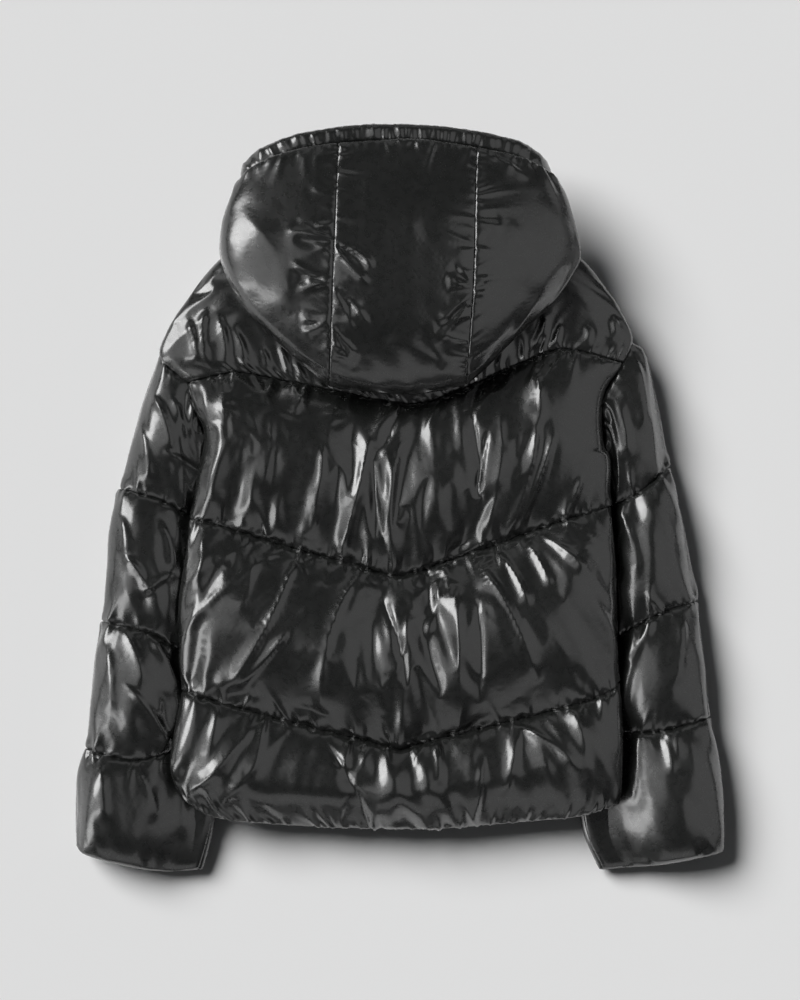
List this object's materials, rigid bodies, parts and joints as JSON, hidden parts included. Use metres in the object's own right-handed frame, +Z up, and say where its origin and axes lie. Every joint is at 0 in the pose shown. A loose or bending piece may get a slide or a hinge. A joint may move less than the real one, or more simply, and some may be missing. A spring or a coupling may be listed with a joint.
{
  "type": "puffer jacket",
  "caption": "Cropped high-gloss hooded puffer jacket with chevron quilting, lying face down with its hood laid back and its sleeves beside the body.",
  "frame": {"origin": "centre of the jacket's outline on the surface that it lies on, under the middle of its body", "axes": "+Y towards the hood, +Z up out of the jacket's back, +X towards the wearer's right sleeve"},
  "size_m": [0.72, 0.8213, 0.1409],
  "materials": {
    "shell": "high-gloss wet-look polyamide taffeta, black, padded",
    "zip_tape": "matt woven polyester tape, black",
    "zip_teeth": "moulded acetal teeth, black",
    "zip_metal": "black nickel-look enamelled die-cast zinc"
  },
  "bodies": {
    "jacket": {"back_yoke": "shell", "back_upper": "shell", "back_lower": "shell", "back_hem": "shell", "front_left_1": "shell", "front_left_2": "shell", "front_left_3": "shell", "front_left_4": "shell", "front_right_1": "shell", "front_right_2": "shell", "front_right_3": "shell", "front_right_4": "shell", "sleeve_left_1": "shell", "sleeve_left_2": "shell", "sleeve_left_3": "shell", "sleeve_left_4": "shell", "sleeve_right_1": "shell", "sleeve_right_2": "shell", "sleeve_right_3": "shell", "sleeve_right_4": "shell", "hood_centre": "shell", "hood_left": "shell", "hood_right": "shell", "hood_edge": "shell", "zip_tape_left": "zip_tape", "zip_tape_right": "zip_tape", "zip_teeth": "zip_teeth", "zip_slider": "zip_metal"},
    "zip_pull": {"zip_pull": "zip_metal"}
  },
  "joints": [
    {"name": "pull_swing", "type": "hinge", "parent": "jacket", "child": "zip_pull", "pos_m": [0, 0.268, 0.0062], "axis": [1, 0, 0], "range_deg": [0, 170]}
  ]
}
